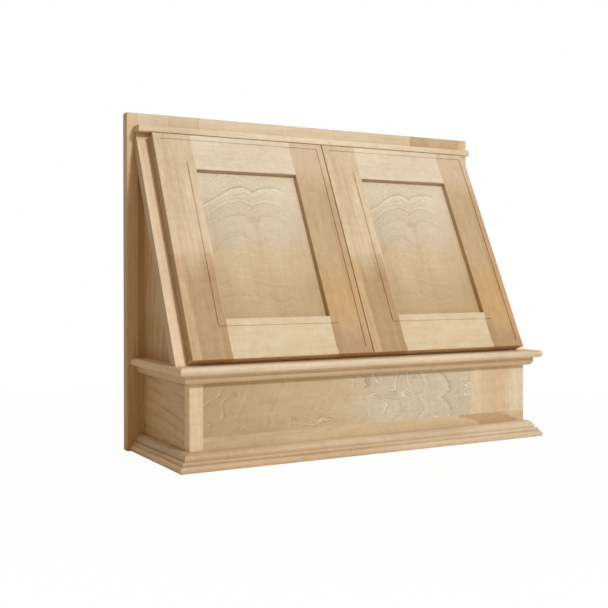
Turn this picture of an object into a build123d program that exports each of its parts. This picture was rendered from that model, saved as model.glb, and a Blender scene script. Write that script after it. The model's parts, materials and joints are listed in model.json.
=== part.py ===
from build123d import *
import math
import os

# Wooden range hood cover: a back board with a duct cut-out, a low box with two mitred
# mouldings, and a leaning face with two framed doors on concealed hinges.
# Millimetres. +X runs to the viewer's right, +Y into the wall, +Z up. The origin lies on
# the wall side of the back, at its bottom edge, midway between its ends.
# Each piece of wood or metal is one solid in its own file. Screws, pins and pads of one
# kind share a file.

# ---- back ----
overall_width = 762.0
overall_height = 596.9
back_thickness = 19.05
back_edge_width = 20.5
cutout_reveal = 41.0
cutout_rise = 60.0
cutout_headroom = 62.0
cutout_corner = 6.0
fixing_hole_radius = 2.75
fixing_inset = 20.0
fixing_rise = 40.0
fixing_drop = 24.0

# ---- low box; its sides are set in from the back's ends ----
side_setback = 31.0
box_projection = 203.2
side_thickness = 19.05
belt_top = 164.0
valance_thickness = 19.05
valance_stile_width = 23.3
valance_board_width = 129.5
valance_rail_height = 49.3
nailer_depth = 38.0
nailer_height = 19.05
cleat_thickness = 19.05
cleat_height = 38.1
cleat_recess = 3.2
block_leg = 34.0
block_height = 60.0
block_gap = 10.0

# ---- belt moulding, as heights and projections from the box ----
belt_height = 27.5
belt_projection = 25.4
belt_nose_height = 12.5
belt_fillet_projection = 13.2
belt_fillet_height = 9.3
belt_quarter_projection = 12.4
belt_quarter_height = 5.0
belt_quarter_foot = 5.0

# ---- base moulding ----
base_height = 29.0
base_projection = 25.4
base_nose_height = 10.7
base_nose_top = 20.7
base_bead_foot = 19.5
base_bead_bulge = 20.3
base_bead_middle = 13.3
base_bead_height = 16.5
base_bead_top = 15.4
base_round_foot = 14.4
base_round_height = 19.2
base_round_top = 2.5

# ---- leaning face ----
foot_setback = 14.2
face_top_depth = 7.25
face_thickness = 19.05
face_overhang = 17.5
face_stile_width = 40.6
face_bottom_rail = 38.1
face_top_rail = 52.0

# ---- ledge over the face ----
top_band = 35.9
ledge_height = 11.4
ledge_depth = 26.2
ledge_overhang = 0.8
ledge_round = 1.6

# ---- doors ----
door_gap = 1.8
door_overlay = 19.05
door_thickness = 19.05
door_standoff = 2.0
door_foot_clearance = 1.0
door_ledge_clearance = 2.8
door_stile_width = 72.0
door_rail_width = 71.0
outer_border = 12.0
top_border = 10.4
inner_border = 14.6
foot_border = 12.9
channel_depth = 1.7
channel_corner = 2.5
outer_round = 1.2
inner_round = 1.0
panel_recess = 9.5
panel_thickness = 6.35
groove_depth = 9.5
panel_play = 0.6
bumper_radius = 4.8
bumper_thickness = 1.7
bumper_inset = 16.0

# ---- concealed hinges ----
hinge_inset = 82.0
cup_setback = 3.0
cup_radius = 17.5
cup_fit = 0.1
cup_depth = 12.1
cup_bore_depth = 12.5
cup_wall = 1.0
cup_floor = 0.5
flange_thickness = 0.8
flange_rim = 2.0
wing_spread = 45.0
wing_offset = 9.5
wing_radius = 5.5
cup_pivot_setback = 12.47
cup_pivot_height = 2.38
arm_pivot_reach = 25.86
arm_pivot_depth = 3.21
pin_radius = 1.5
pin_play = 0.05
eye_radius = 3.0
link_width = 10.0
link_half_height = 1.4
cheek_gap = 0.35
cheek_thickness = 1.8
plate_thickness = 2.0
plate_length = 46.0
plate_margin = 2.2
plate_screw_spread = 30.0
arm_root_top = 5.0
arm_web = 1.8

# ---- screws ----
hinge_screw_length = 13.0
hinge_screw_radius = 1.6
hinge_head_radius = 3.3
hinge_head_height = 1.5
case_screw_length = 40.0
case_screw_radius = 2.1
case_head_radius = 4.0
case_screw_first = 60.0
case_screw_pitch = 125.0
case_screw_count = 4

# ---- places worked out from the sizes above ----
back_face = -back_thickness
half_box = overall_width / 2 - side_setback
inner_side = half_box - side_thickness
box_front = back_face - box_projection
valance_back = box_front + valance_thickness
ledge_bottom = overall_height - top_band
half_face = half_box + face_overhang
face_inner = half_face - face_stile_width
foot_front = box_front + foot_setback
face_rise = ledge_bottom - belt_top
face_run = back_face - face_top_depth - foot_front
lean = math.atan2(face_run, face_rise)
face_height = face_rise / math.cos(lean)
face_level_thickness = face_thickness / math.cos(lean)
side_apex = belt_top + (back_face - face_level_thickness - foot_front) / math.tan(lean)

# The leaning face's own frame: x to the right, y up the slope, z outward from its front.
face_plane = Plane(
    origin=(0, foot_front, belt_top),
    x_dir=(1, 0, 0),
    z_dir=(0, -math.cos(lean), math.sin(lean)),
)

# The ledge's lower front corner, measured up the slope, decides where the doors end.
ledge_front = back_face - ledge_depth
ledge_corner_rise = (ledge_front - foot_front) * math.sin(lean) + face_rise * math.cos(lean)
door_bottom = door_foot_clearance
door_top = ledge_corner_rise - door_ledge_clearance
door_height = door_top - door_bottom
door_outer = face_inner + door_overlay
door_width = door_outer - door_gap / 2
door_back = door_standoff
door_front = door_back + door_thickness
opening_left = door_stile_width
opening_right = door_width - door_stile_width
opening_low = door_rail_width
opening_high = door_height - door_rail_width
panel_front = door_thickness - panel_recess
panel_back = panel_front - panel_thickness
hinge_rises = (door_bottom + hinge_inset, door_top - hinge_inset)
cup_inset = cup_setback + cup_radius


def block(x0, x1, y0, y1, z0, z1):
    """A box between two corners."""
    middle = Pos((x0 + x1) / 2, (y0 + y1) / 2, (z0 + z1) / 2)
    return middle * Box(abs(x1 - x0), abs(y1 - y0), abs(z1 - z0))


def prism_x(points, x0, x1):
    """A (y, z) outline drawn out from x0 to x1."""
    outline = Polyline([(x0, y, z) for y, z in points], close=True)
    return extrude(make_face(outline), amount=x1 - x0, dir=(1, 0, 0))


def prism_z(points, z0, z1):
    """An (x, y) outline drawn up from z0 to z1."""
    outline = Polyline([(x, y, z0) for x, y in points], close=True)
    return extrude(make_face(outline), amount=z1 - z0, dir=(0, 0, 1))


def rod(start, direction, radius, length):
    """A round rod from a point along a direction."""
    return extrude(Plane(origin=start, z_dir=direction) * Circle(radius), amount=length)


def mirrored(shape):
    """The same piece for the other side of the hood."""
    return mirror(shape, about=Plane.YZ)


def on_face(shape):
    """A piece drawn in the leaning face's frame, set into the hood."""
    return face_plane.location * shape


def wood_screw(start, direction, length, radius, head_radius):
    """A countersunk screw: its head's rim at start, its shank running along direction."""
    head_height = head_radius - radius
    plane = Plane(origin=start, z_dir=direction)
    shank = extrude(plane * Circle(radius), amount=length)
    return shank + extrude(plane * Circle(head_radius), amount=head_height, taper=45)


# ---- back ----


def case_screws():
    """Screws through the back into the rear edges of both sides."""
    screws = []
    for x in (-(half_box - side_thickness / 2), half_box - side_thickness / 2):
        for step in range(case_screw_count):
            start = (x, 0, case_screw_first + step * case_screw_pitch)
            screws.append(
                wood_screw(start, (0, -1, 0), case_screw_length, case_screw_radius, case_head_radius)
            )
    return screws


def fixing_points():
    """Centres of the four fixing holes, inside the hood beside the cut-out."""
    x = inner_side - fixing_inset
    low = cutout_rise + fixing_rise
    high = ledge_bottom - cutout_headroom - fixing_drop
    return [(side * x, z) for side in (-1, 1) for z in (low, high)]


def back_panel():
    half = overall_width / 2 - back_edge_width
    board = block(-half, half, back_face, 0, 0, overall_height)
    cut_half = inner_side - cutout_reveal
    cut = block(
        -cut_half, cut_half, 2 * back_face, back_thickness, cutout_rise, ledge_bottom - cutout_headroom
    )
    cut = fillet(cut.edges().filter_by(Axis.Y), cutout_corner)
    board -= cut
    for x, z in fixing_points():
        board -= rod((x, back_thickness, z), (0, -1, 0), fixing_hole_radius, 3 * back_thickness)
    for screw in case_screws():
        board -= screw
    return board


def back_edge():
    """The strip glued to the left end of the back."""
    outer = overall_width / 2
    return block(-outer, -outer + back_edge_width, back_face, 0, 0, overall_height)


# ---- low box ----


def side_panel():
    """Left side: upright behind the valance, then following the leaning face's back."""
    outline = [
        (back_face, 0),
        (valance_back, 0),
        (valance_back, belt_top),
        (foot_front + face_level_thickness, belt_top),
        (back_face, side_apex),
    ]
    panel = prism_x(outline, -half_box, -inner_side)
    for screw in case_screws():
        panel -= screw
    return panel


def valance_stile():
    return block(
        -half_box, -half_box + valance_stile_width, box_front, valance_back, 0, belt_top
    )


def valance_panel():
    left = -half_box + valance_stile_width
    right = half_box - valance_board_width
    return block(left, right, box_front, valance_back, valance_rail_height, belt_top)


def valance_board():
    left = half_box - valance_board_width
    return block(left, half_box, box_front, valance_back, valance_rail_height, belt_top)


def valance_rail():
    left = -half_box + valance_stile_width
    return block(left, half_box, box_front, valance_back, 0, valance_rail_height)


def nailer():
    """The rail inside the box that carries the leaning face's foot."""
    return block(
        -inner_side, inner_side, valance_back, valance_back + nailer_depth,
        belt_top - nailer_height, belt_top,
    )


def side_cleat():
    """Left cleat that a vent liner's flange is screwed up into."""
    return block(
        -inner_side, -inner_side + cleat_thickness, valance_back + cleat_thickness, back_face,
        cleat_recess, cleat_recess + cleat_height,
    )


def front_cleat():
    return block(
        -inner_side, inner_side, valance_back, valance_back + cleat_thickness,
        cleat_recess, cleat_recess + cleat_height,
    )


def corner_block():
    """Three-cornered glue block in the left front corner of the box."""
    low = cleat_recess + cleat_height + block_gap
    outline = [
        (-inner_side, valance_back),
        (-inner_side + block_leg, valance_back),
        (-inner_side, valance_back + block_leg),
    ]
    return prism_z(outline, low, low + block_height)


# ---- mouldings ----


def belt_profile():
    """Bullnose over a fillet and a quarter round, as (projection, height above the foot)."""
    nose_low = belt_height - belt_nose_height
    nose_middle = belt_height - belt_nose_height / 2
    nose_start = belt_projection - belt_nose_height / 4
    fillet_low = nose_low - belt_fillet_height
    turn = math.sqrt(0.5)
    quarter_middle = (
        belt_quarter_foot + (belt_quarter_projection - belt_quarter_foot) * turn,
        belt_quarter_height * (1 - turn),
    )
    quarter_top = (belt_quarter_projection, belt_quarter_height)
    return make_face([
        Line((0, 0), (belt_quarter_foot, 0)),
        ThreePointArc((belt_quarter_foot, 0), quarter_middle, quarter_top),
        Line(quarter_top, (belt_quarter_projection, fillet_low)),
        Line((belt_quarter_projection, fillet_low), (belt_fillet_projection, fillet_low)),
        Line((belt_fillet_projection, fillet_low), (belt_fillet_projection, nose_low)),
        Line((belt_fillet_projection, nose_low), (nose_start, nose_low)),
        ThreePointArc((nose_start, nose_low), (belt_projection, nose_middle), (nose_start, belt_height)),
        Line((nose_start, belt_height), (0, belt_height)),
        Line((0, belt_height), (0, 0)),
    ])


def base_profile():
    """Rounded nose, bead and flat quarter round, as (projection, height)."""
    nose_foot = base_projection - (base_projection - base_nose_top) / 4
    turn = math.sqrt(0.5)
    round_middle = (
        base_round_top + (base_round_foot - base_round_top) * turn,
        base_round_height + (base_height - base_round_height) * turn,
    )
    nose_middle = (base_projection, base_nose_height / 2)
    nose_top = (base_nose_top, base_nose_height)
    bead_foot = (base_bead_foot, base_nose_height)
    bead_top = (base_bead_top, base_bead_height)
    return make_face([
        Line((0, 0), (nose_foot, 0)),
        ThreePointArc((nose_foot, 0), nose_middle, nose_top),
        Line(nose_top, bead_foot),
        ThreePointArc(bead_foot, (base_bead_bulge, base_bead_middle), bead_top),
        Line(bead_top, (base_round_foot, base_bead_height)),
        Line((base_round_foot, base_bead_height), (base_round_foot, base_round_height)),
        ThreePointArc((base_round_foot, base_round_height), round_middle, (base_round_top, base_height)),
        Line((base_round_top, base_height), (0, base_height)),
        Line((0, base_height), (0, 0)),
    ])


def front_moulding(profile, projection, height, foot):
    """A profile along the front, mitred at both ends."""
    reach = half_box + projection
    plane = Plane(origin=(reach, box_front, foot), x_dir=(0, -1, 0), z_dir=(-1, 0, 0))
    stick = extrude(plane * profile, amount=2 * reach)
    plan = [
        (-half_box, box_front),
        (half_box, box_front),
        (reach, box_front - projection),
        (-reach, box_front - projection),
    ]
    return stick & prism_z(plan, foot - height, foot + 2 * height)


def side_moulding(profile, projection, height, foot):
    """The left return of a moulding, mitred in front and square at the back."""
    front = box_front - projection
    plane = Plane(origin=(-half_box, front, foot), x_dir=(-1, 0, 0), z_dir=(0, 1, 0))
    stick = extrude(plane * profile, amount=back_face - front)
    plan = [
        (-half_box, box_front),
        (-half_box, back_face),
        (-half_box - projection, back_face),
        (-half_box - projection, front),
    ]
    return stick & prism_z(plan, foot - height, foot + 2 * height)


# ---- leaning face ----


def trimmed_to_hood(shape):
    """Cut a piece of the leaning face level at foot and head and upright at the back."""
    envelope = block(
        -overall_width, overall_width, box_front, back_face, belt_top, ledge_bottom
    )
    return on_face(shape) & envelope


def face_stile():
    run = face_height + face_thickness
    stile = trimmed_to_hood(
        block(-half_face, -face_inner, -face_thickness, run, -face_thickness, 0)
    )
    for screw in plate_screws():
        stile -= on_face(screw)
    return stile


def face_rail_bottom():
    return trimmed_to_hood(
        block(-face_inner, face_inner, -face_thickness, face_bottom_rail, -face_thickness, 0)
    )


def face_rail_top():
    low = face_height - face_top_rail
    return trimmed_to_hood(
        block(-face_inner, face_inner, low, face_height + face_thickness, -face_thickness, 0)
    )


def ledge():
    reach = half_face + ledge_overhang
    strip = block(
        -reach, reach, ledge_front, back_face, ledge_bottom, ledge_bottom + ledge_height
    )
    front = strip.faces().sort_by(Axis.Y)[0]
    return fillet(front.edges(), ledge_round)


# ---- doors, drawn from the hinge side's lower back corner: x across, y up, z outward ----


def door_shell():
    """The door's frame in one piece: a slab with an opening, and round the opening a wide
    shallow channel between two proud borders."""
    slab = block(0, door_width, 0, door_height, 0, door_thickness)
    slab = fillet(slab.faces().sort_by(Axis.Z)[-1].edges(), outer_round)
    slab -= block(
        opening_left, opening_right, opening_low, opening_high, -door_thickness, 2 * door_thickness
    )
    rim = slab.faces().sort_by(Axis.Z)[-1].inner_wires()[0].edges()
    slab = fillet(rim, inner_round)
    channel = block(
        outer_border, door_width - outer_border, outer_border, door_height - top_border,
        door_thickness - channel_depth, 2 * door_thickness,
    )
    channel = fillet(channel.edges().filter_by(Axis.Z), channel_corner)
    channel -= block(
        opening_left - inner_border, opening_right + inner_border,
        opening_low - foot_border, opening_high + inner_border,
        0, 3 * door_thickness,
    )
    return slab - channel


def groove(x0, x1, y0, y1):
    return block(x0, x1, y0, y1, panel_back, panel_front)


def door_stile(low_x, high_x, inner_x, groove_x):
    """A full-height member between two x places, grooved for the panel and the tenons."""
    stile = door_shell() & block(low_x, high_x, 0, door_height, 0, door_thickness)
    return stile - groove(inner_x, groove_x, 0, door_height)


def door_outer_stile():
    stile = door_stile(0, opening_left, opening_left - groove_depth, opening_left)
    for rise in hinge_rises:
        centre = (cup_inset, rise - door_bottom, 0)
        stile -= rod(centre, (0, 0, 1), cup_radius, cup_bore_depth)
    for screw in wing_screws():
        stile -= screw
    return stile


def door_inner_stile():
    return door_stile(opening_right, door_width, opening_right, opening_right + groove_depth)


def door_rail(low_y, high_y, groove_low, groove_high):
    """A cross member with a stub tenon at each end."""
    rail = door_shell() & block(
        opening_left, opening_right, low_y, high_y, 0, door_thickness
    )
    rail -= groove(opening_left, opening_right, groove_low, groove_high)
    for x0, x1 in (
        (opening_left - groove_depth, opening_left),
        (opening_right, opening_right + groove_depth),
    ):
        rail += groove(x0, x1, low_y, high_y)
        rail -= groove(x0, x1, groove_low, groove_high)
    return rail


def door_rail_bottom():
    return door_rail(0, opening_low, opening_low - groove_depth, opening_low)


def door_rail_top():
    return door_rail(opening_high, door_height, opening_high, opening_high + groove_depth)


def door_panel():
    reach = groove_depth - panel_play
    return block(
        opening_left - reach, opening_right + reach, opening_low - reach, opening_high + reach,
        panel_back, panel_front,
    )


def door_bumpers():
    """Round pads at the free side's corners, a hair clear of the face's rails."""
    pads = []
    for y in (bumper_inset, door_height - bumper_inset):
        pads.append(
            rod((door_width - bumper_inset, y, 0), (0, 0, -1), bumper_radius, bumper_thickness)
        )
    return Compound(children=pads)


# ---- concealed hinges ----
# The cup is drawn with its door. The link, the arm and their pin are drawn in the face's
# frame, at a centre height on the slope, for the left side.


def cup_pivot_in_door():
    return (cup_pivot_setback, cup_pivot_height)


def cup_pivot_on_face():
    """The cup's pivot as (x, z) in the face's frame, for the left door."""
    return (-door_outer + cup_pivot_setback, door_back + cup_pivot_height)


def arm_pivot_on_face():
    """The arm's pivot as (x, z) in the face's frame, for the left door."""
    return (-face_inner + arm_pivot_reach, -arm_pivot_depth)


def cross_bar(x, z, radius, y0, y1):
    """A round bar along y at an (x, z) place."""
    return rod((x, y0, z), (0, 1, 0), radius, y1 - y0)


def wing_screws():
    """Two screws a cup, through its wings into the door."""
    screws = []
    for rise in hinge_rises:
        for side in (-1, 1):
            start = (
                cup_inset + wing_offset,
                rise - door_bottom + side * wing_spread / 2,
                -flange_thickness,
            )
            shank = rod(start, (0, 0, 1), hinge_screw_radius, hinge_screw_length)
            head = rod(start, (0, 0, -1), hinge_head_radius, hinge_head_height)
            screws.append(shank + fillet(head.faces().sort_by(Axis.Z)[0].edges(), hinge_head_height / 2))
    return screws


def hinge_cup(rise):
    """Pressed cup with a winged flange and two cheeks that hold the pin."""
    y = rise - door_bottom
    outer = cup_radius - cup_fit
    mouth = (cup_inset, y, -flange_thickness)
    cup = rod(mouth, (0, 0, 1), outer, cup_depth + flange_thickness)
    flange = rod(mouth, (0, 0, 1), cup_radius + flange_rim, flange_thickness)
    for side in (-1, 1):
        wing = (cup_inset + wing_offset, y + side * wing_spread / 2, -flange_thickness)
        flange += rod(wing, (0, 0, 1), wing_radius, flange_thickness)
    reach = wing_spread / 2
    flange += block(
        cup_inset, cup_inset + wing_offset + wing_radius, y - reach, y + reach,
        -flange_thickness, 0,
    )
    cup += flange
    cavity = cup_depth - cup_floor
    cup -= rod(mouth, (0, 0, 1), outer - cup_wall, cavity + flange_thickness)
    x, z = cup_pivot_in_door()
    near = link_width / 2 + cheek_gap
    for side in (-1, 1):
        y0 = y + side * near
        y1 = y0 + side * cheek_thickness
        cheek = block(x - eye_radius, x + eye_radius, y0, y1, z, cavity)
        cheek += cross_bar(x, z, eye_radius, min(y0, y1), max(y0, y1))
        cup += cheek
    cup -= hinge_pin(x, y, z)
    for screw in wing_screws():
        cup -= screw
    return cup


def hinge_pin(x, y, z):
    reach = link_width / 2 + cheek_gap + cheek_thickness
    return cross_bar(x, z, pin_radius, y - reach, y + reach)


def cup_pins():
    x, z = cup_pivot_in_door()
    return Compound(children=[hinge_pin(x, rise - door_bottom, z) for rise in hinge_rises])


def hinge_link(rise):
    """The swinging strap from the arm's pin to the cup's pin."""
    ax, az = arm_pivot_on_face()
    bx, bz = cup_pivot_on_face()
    y0 = rise - link_width / 2
    y1 = rise + link_width / 2
    length = math.hypot(bx - ax, bz - az)
    side_x = (bz - az) / length * link_half_height
    side_z = -(bx - ax) / length * link_half_height
    corners = [
        (ax + side_x, y0, az + side_z),
        (bx + side_x, y0, bz + side_z),
        (bx - side_x, y0, bz - side_z),
        (ax - side_x, y0, az - side_z),
    ]
    strap = extrude(make_face(Polyline(corners, close=True)), amount=link_width, dir=(0, 1, 0))
    for x, z in ((ax, az), (bx, bz)):
        strap += cross_bar(x, z, eye_radius, y0, y1)
    for x, z in ((ax, az), (bx, bz)):
        strap -= cross_bar(x, z, pin_radius + pin_play, y0 - cheek_gap, y1 + cheek_gap)
    return strap


def plate_screws():
    """Two screws a hinge, through its plate into the stile's inner edge."""
    screws = []
    for rise in hinge_rises:
        for side in (-1, 1):
            start = (
                -face_inner + plate_thickness,
                rise + side * plate_screw_spread / 2,
                -face_thickness / 2,
            )
            shank = rod(start, (-1, 0, 0), hinge_screw_radius, hinge_screw_length)
            head = rod(start, (1, 0, 0), hinge_head_radius, hinge_head_height)
            screws.append(shank + fillet(head.faces().sort_by(Axis.X)[-1].edges(), hinge_head_height / 2))
    return screws


def hinge_arm(rise):
    """Plate on the stile's inner edge, with two cheeks that reach out to the arm's pin."""
    ax, az = arm_pivot_on_face()
    root = -face_inner + plate_thickness
    low = -face_thickness + plate_margin
    arm = block(
        -face_inner, root, rise - plate_length / 2, rise + plate_length / 2, low, -plate_margin
    )
    near = link_width / 2 + cheek_gap
    far = near + cheek_thickness
    for y0, y1 in ((rise - far, rise - near), (rise + near, rise + far)):
        corners = [
            (root, y0, low),
            (root, y0, -arm_root_top),
            (ax, y0, az + eye_radius),
            (ax, y0, az - eye_radius),
        ]
        arm += extrude(make_face(Polyline(corners, close=True)), amount=cheek_thickness, dir=(0, 1, 0))
        arm += cross_bar(ax, az, eye_radius, y0, y1)
    arm += block(
        root, (root + ax) / 2, rise - near, rise + near,
        low + face_thickness / 4, low + face_thickness / 4 + arm_web,
    )
    arm -= hinge_pin(ax, rise, az)
    for screw in plate_screws():
        arm -= screw
    return arm


def arm_pins():
    ax, az = arm_pivot_on_face()
    return Compound(children=[hinge_pin(ax, rise, az) for rise in hinge_rises])


# ---- assembly ----


def door_pieces():
    """The left door's pieces by name, in the door's own frame."""
    return {
        "door_outer_stile": door_outer_stile(),
        "door_inner_stile": door_inner_stile(),
        "door_bottom_rail": door_rail_bottom(),
        "door_top_rail": door_rail_top(),
        "door_panel": door_panel(),
        "door_bumpers": door_bumpers(),
        "lower_hinge_cup": hinge_cup(hinge_rises[0]),
        "upper_hinge_cup": hinge_cup(hinge_rises[1]),
        "cup_pins": cup_pins(),
        "cup_screws": Compound(children=wing_screws()),
    }


def face_hardware():
    """The left hinges' pieces that aren't on the door, in the face's frame."""
    return {
        "lower_hinge_link": hinge_link(hinge_rises[0]),
        "upper_hinge_link": hinge_link(hinge_rises[1]),
        "lower_hinge_arm": hinge_arm(hinge_rises[0]),
        "upper_hinge_arm": hinge_arm(hinge_rises[1]),
        "arm_pins": arm_pins(),
        "arm_screws": Compound(children=plate_screws()),
    }


def hood_pieces():
    """Every piece in place, by the name of its file."""
    belt_foot = belt_top - belt_height
    pieces = {
        "back_panel": back_panel(),
        "back_edge_left": back_edge(),
        "back_edge_right": mirrored(back_edge()),
        "side_panel_left": side_panel(),
        "side_panel_right": mirrored(side_panel()),
        "case_screws": Compound(children=case_screws()),
        "valance_stile": valance_stile(),
        "valance_panel": valance_panel(),
        "valance_board": valance_board(),
        "valance_rail": valance_rail(),
        "nailer": nailer(),
        "cleat_left": side_cleat(),
        "cleat_right": mirrored(side_cleat()),
        "cleat_front": front_cleat(),
        "corner_block_left": corner_block(),
        "corner_block_right": mirrored(corner_block()),
        "belt_front": front_moulding(belt_profile(), belt_projection, belt_height, belt_foot),
        "base_front": front_moulding(base_profile(), base_projection, base_height, 0),
        "face_stile_left": face_stile(),
        "face_stile_right": mirrored(face_stile()),
        "face_rail_bottom": face_rail_bottom(),
        "face_rail_top": face_rail_top(),
        "ledge": ledge(),
    }
    belt_side = side_moulding(belt_profile(), belt_projection, belt_height, belt_foot)
    base_side = side_moulding(base_profile(), base_projection, base_height, 0)
    pieces["belt_left"] = belt_side
    pieces["belt_right"] = mirrored(belt_side)
    pieces["base_left"] = base_side
    pieces["base_right"] = mirrored(base_side)
    door_place = Pos(-door_outer, door_bottom, door_back)
    for name, piece in door_pieces().items():
        placed = on_face(door_place * piece)
        pieces["left_" + name] = placed
        pieces["right_" + name] = mirrored(placed)
    for name, piece in face_hardware().items():
        placed = on_face(piece)
        pieces["left_" + name] = placed
        pieces["right_" + name] = mirrored(placed)
    return pieces


os.makedirs("parts", exist_ok=True)
for name, piece in hood_pieces().items():
    export_step(piece, os.path.join("parts", name + ".step"))

print("lean %.2f degrees" % math.degrees(lean))
print("door %.2f wide, %.2f high" % (door_width, door_height))
print("face height %.2f, side apex at z %.2f" % (face_height, side_apex))
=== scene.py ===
import json
from math import radians, pi

import bmesh
import bpy
from mathutils import Euler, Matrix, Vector

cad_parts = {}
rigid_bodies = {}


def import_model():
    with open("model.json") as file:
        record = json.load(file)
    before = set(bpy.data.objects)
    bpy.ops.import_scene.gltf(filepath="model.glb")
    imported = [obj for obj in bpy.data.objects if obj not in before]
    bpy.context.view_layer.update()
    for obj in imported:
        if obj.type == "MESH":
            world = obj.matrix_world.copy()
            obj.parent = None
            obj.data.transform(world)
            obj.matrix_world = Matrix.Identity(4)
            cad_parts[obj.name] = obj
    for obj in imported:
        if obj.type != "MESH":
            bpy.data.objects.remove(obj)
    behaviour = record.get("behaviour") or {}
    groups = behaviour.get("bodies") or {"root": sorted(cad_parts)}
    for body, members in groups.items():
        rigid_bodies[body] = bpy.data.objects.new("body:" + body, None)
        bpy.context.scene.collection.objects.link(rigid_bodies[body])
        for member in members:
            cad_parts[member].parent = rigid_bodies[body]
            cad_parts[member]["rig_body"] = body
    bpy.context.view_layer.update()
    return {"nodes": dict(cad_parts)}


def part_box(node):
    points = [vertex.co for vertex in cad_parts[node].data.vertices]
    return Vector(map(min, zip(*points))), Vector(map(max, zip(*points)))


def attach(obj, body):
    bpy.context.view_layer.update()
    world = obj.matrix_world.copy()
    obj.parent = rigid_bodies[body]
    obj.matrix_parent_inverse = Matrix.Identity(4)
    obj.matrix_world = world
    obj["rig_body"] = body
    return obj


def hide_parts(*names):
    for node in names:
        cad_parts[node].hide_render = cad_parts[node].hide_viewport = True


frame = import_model()

# Wooden range hood cover. Metres, the CAD's own frame: X right, Y into the wall, Z up.
# The leaning face and its doors are worked on as if they stood upright: lean, in degrees,
# takes the slope to straight up.
lean = 24.60

# the camera stands where the photograph was taken; its picture is square
camera = {
    "place": (-0.9304, -1.5719, 0.3016),
    "turn": (90.0, 0.15, -27.78),
    "picturePixels": 608.0,
    "focalPixels": 926.7,
    "axisPixel": (262.2, 279.6),
    "sensor": 36.0,
    "clip": (0.02, 60.0),
}


def placeCamera():
    across = camera["picturePixels"]
    data = bpy.data.cameras.new("photoCamera")
    data.sensor_width = camera["sensor"]
    data.lens = camera["focalPixels"] / across * camera["sensor"]
    data.shift_x = (across / 2 - camera["axisPixel"][0]) / across
    data.shift_y = (camera["axisPixel"][1] - across / 2) / across
    data.clip_start, data.clip_end = camera["clip"]
    made = bpy.data.objects.new("photoCamera", data)
    made.location = camera["place"]
    made.rotation_euler = [radians(angle) for angle in camera["turn"]]
    bpy.context.scene.collection.objects.link(made)
    bpy.context.scene.camera = made


placeCamera()
print("camera placed")


# small helpers for materials; sources are sockets or plain numbers

def newMaterial(name):
    material = bpy.data.materials.new(name)
    material.use_nodes = True
    material.node_tree.nodes.clear()
    return material


def addNode(material, kind, **settings):
    made = material.node_tree.nodes.new("ShaderNode" + kind)
    for name, value in settings.items():
        setattr(made, name, value)
    return made


def feed(material, socket, source):
    if isinstance(source, bpy.types.NodeSocket):
        material.node_tree.links.new(source, socket)
    else:
        socket.default_value = source


def calc(material, operation, first, second=0.0, third=0.0, clamp=False):
    made = addNode(material, "Math", operation=operation, use_clamp=clamp)
    for socket, source in zip(made.inputs, (first, second, third)):
        feed(material, socket, source)
    return made.outputs[0]


def total(material, *terms):
    result = terms[0]
    for term in terms[1:]:
        result = calc(material, "ADD", result, term)
    return result


def product(material, *factors):
    result = factors[0]
    for factor in factors[1:]:
        result = calc(material, "MULTIPLY", result, factor)
    return result


def vectorCalc(material, operation, *sources):
    made = addNode(material, "VectorMath", operation=operation)
    for socket, source in zip(made.inputs, sources):
        feed(material, socket, source)
    return made.outputs[0]


def joined(material, x, y, z):
    made = addNode(material, "CombineXYZ")
    for socket, source in zip(made.inputs, (x, y, z)):
        feed(material, socket, source)
    return made.outputs[0]


def split(material, vector):
    made = addNode(material, "SeparateXYZ")
    feed(material, made.inputs[0], vector)
    return made.outputs


def noise(material, vector, scale, factors=(1, 1, 1), detail=2.0, roughness=0.5, distortion=0.0):
    made = addNode(material, "TexNoise")
    feed(material, made.inputs["Vector"], vectorCalc(material, "MULTIPLY", vector, factors))
    made.inputs["Scale"].default_value = scale
    made.inputs["Detail"].default_value = detail
    made.inputs["Roughness"].default_value = roughness
    made.inputs["Distortion"].default_value = distortion
    return made.outputs["Fac"]


def swing(material, source, amount):
    # moves 0 to 1 to minus and plus the amount
    return calc(material, "MULTIPLY", calc(material, "SUBTRACT", source, 0.5), 2 * amount)


def band(material, source, low, high, outLow=0.0, outHigh=1.0):
    # rises softly from low to high, or falls where high is the smaller
    made = addNode(material, "MapRange", interpolation_type="SMOOTHSTEP")
    for name, value in (("Value", source), ("From Min", low), ("From Max", high),
                        ("To Min", outLow), ("To Max", outHigh)):
        feed(material, made.inputs[name], value)
    return made.outputs[0]


def paint(red, green, blue):
    def linear(value):
        value /= 255
        return value / 12.92 if value <= 0.04045 else ((value + 0.055) / 1.055) ** 2.4
    return (linear(red), linear(green), linear(blue), 1.0)


def toneRun(material, factor, stops):
    # tones, minus 1 to 1, at places along the factor
    made = addNode(material, "ValToRGB")
    elements = made.color_ramp.elements
    while len(elements) < len(stops):
        elements.new(0.5)
    for element, (place, tone) in zip(elements, stops):
        element.position = place
    for element, (place, tone) in zip(elements, stops):
        element.color = (0.5 + tone / 2,) * 3 + (1.0,)
    feed(material, made.inputs[0], factor)
    return swing(material, made.outputs[0], 1.0)


def mix(material, kind, factor, first, second):
    made = addNode(material, "Mix", data_type="RGBA", blend_type=kind)
    made.clamp_factor = True
    # a mix node keeps its colour sockets after the ones for numbers and vectors
    for socket, source in ((0, factor), (6, first), (7, second)):
        feed(material, made.inputs[socket], source)
    return made.outputs[2]


def drawnCurve(material, source, points):
    made = addNode(material, "FloatCurve")
    curve = made.mapping.curves[0]
    while len(curve.points) < len(points):
        curve.points.new(0.5, 0.5)
    for point, place in zip(curve.points, points):
        point.location = place
    made.mapping.update()
    feed(material, made.inputs["Value"], source)
    return made.outputs[0]


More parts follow.
